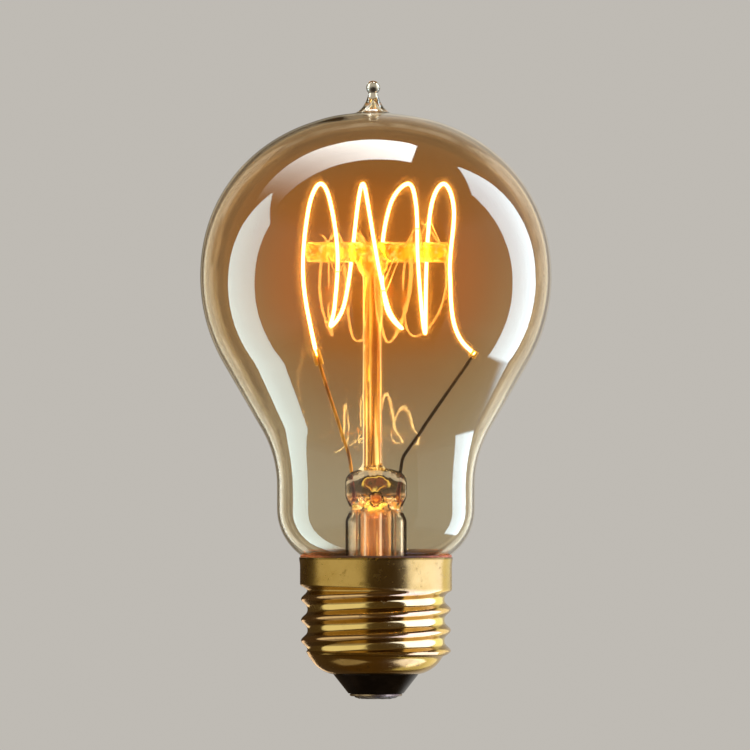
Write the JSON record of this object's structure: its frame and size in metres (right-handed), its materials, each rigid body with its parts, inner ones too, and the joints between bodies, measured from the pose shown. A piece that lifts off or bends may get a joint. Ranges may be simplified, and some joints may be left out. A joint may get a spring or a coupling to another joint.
{
  "type": "light bulb",
  "caption": "Pear-shaped clear filament lamp with a tipped glass envelope, a pinched glass stem with a crossbar, a looped filament strand and a brass Edison screw cap.",
  "frame": {"origin": "on the lamp's axis, at the lowest face of the centre contact", "axes": "+Z along the axis from the contact to the sealed tip, +X to the right along the crossbar, -Y to the front"},
  "size_m": [0.0615, 0.0614, 0.1082],
  "materials": {
    "cap_brass": "tarnished, rolled",
    "black_glass": "opaque, glossy",
    "contact_brass": "tarnished",
    "solder": "dull, uneven",
    "cement": "matte, fired",
    "envelope_glass": "clear, faint warm tint",
    "stem_glass": "clear, fire polished",
    "rod_glass": "clear, lit amber",
    "anchor_wire": "drawn",
    "seal_wire": "copper clad, red in the glass",
    "lead_wire": "drawn, darkened",
    "clamp_metal": "pressed",
    "tail_copper": "bare copper",
    "filament_strand": "carbon strand, glowing"
  },
  "bodies": {
    "root": {"screw_shell": "cap_brass", "base_insulator": "black_glass", "centre_contact": "contact_brass", "contact_solder": "solder", "basing_cement": "cement", "side_solder": "solder", "glass_envelope": "envelope_glass", "exhaust_tip": "envelope_glass", "stem_flare": "stem_glass", "stem_press": "stem_glass", "exhaust_tube": "stem_glass", "glass_rod": "rod_glass", "rod_boss": "rod_glass", "crossbar": "rod_glass", "anchor_1": "anchor_wire", "anchor_2": "anchor_wire", "anchor_3": "anchor_wire", "anchor_4": "anchor_wire", "left_seal_wire": "seal_wire", "right_seal_wire": "seal_wire", "left_lead": "lead_wire", "right_lead": "lead_wire", "left_clamp": "clamp_metal", "right_clamp": "clamp_metal", "centre_tail_wire": "tail_copper", "side_tail_wire": "tail_copper", "filament": "filament_strand"}
  },
  "joints": []
}
